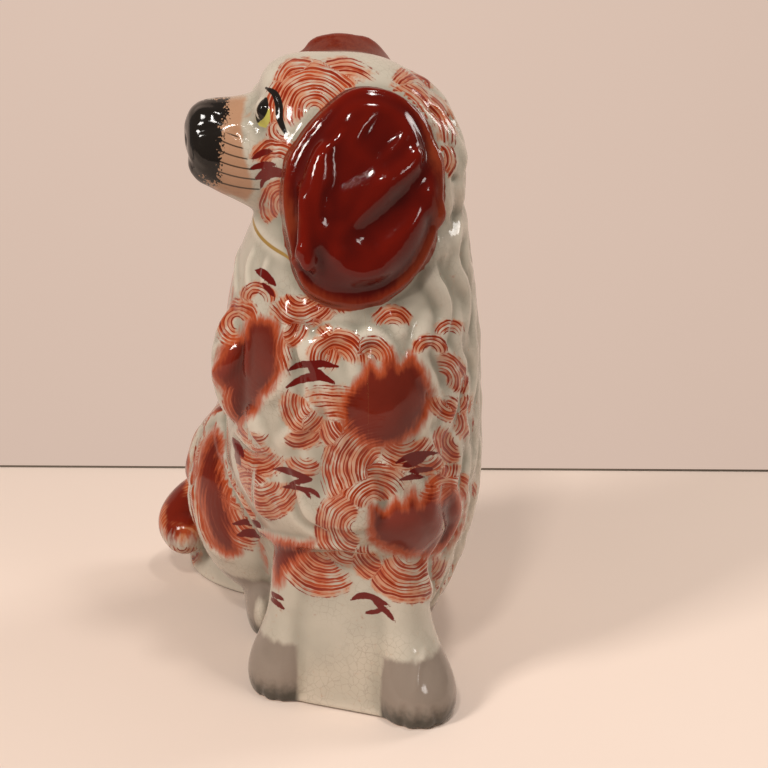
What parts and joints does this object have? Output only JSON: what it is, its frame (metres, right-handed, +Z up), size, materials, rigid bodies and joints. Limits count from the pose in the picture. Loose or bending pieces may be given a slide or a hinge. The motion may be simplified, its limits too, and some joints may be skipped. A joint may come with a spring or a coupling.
{
  "type": "seated spaniel figurine",
  "caption": "Hollow press-moulded earthenware spaniel seated upright, head turned to one side, with painted swirling coat and gilt collar.",
  "frame": {"origin": "on the table under the middle of the figure's box", "axes": "+Z up, +X the way the chest faces, -Y the show side that the face looks at"},
  "size_m": [0.2364, 0.164, 0.3206],
  "materials": {
    "glazed_body": "gloss",
    "painted_red": "gloss",
    "biscuit_clay": "matte"
  },
  "bodies": {
    "root": {"front_half": "glazed_body", "back_half": "glazed_body", "foreleg_block": "glazed_body", "hind_foot": "glazed_body", "tail": "painted_red", "chest_ear": "painted_red", "back_ear": "painted_red", "base_slab": "biscuit_clay", "base_roll": "biscuit_clay", "seam_roll": "biscuit_clay"}
  },
  "joints": []
}
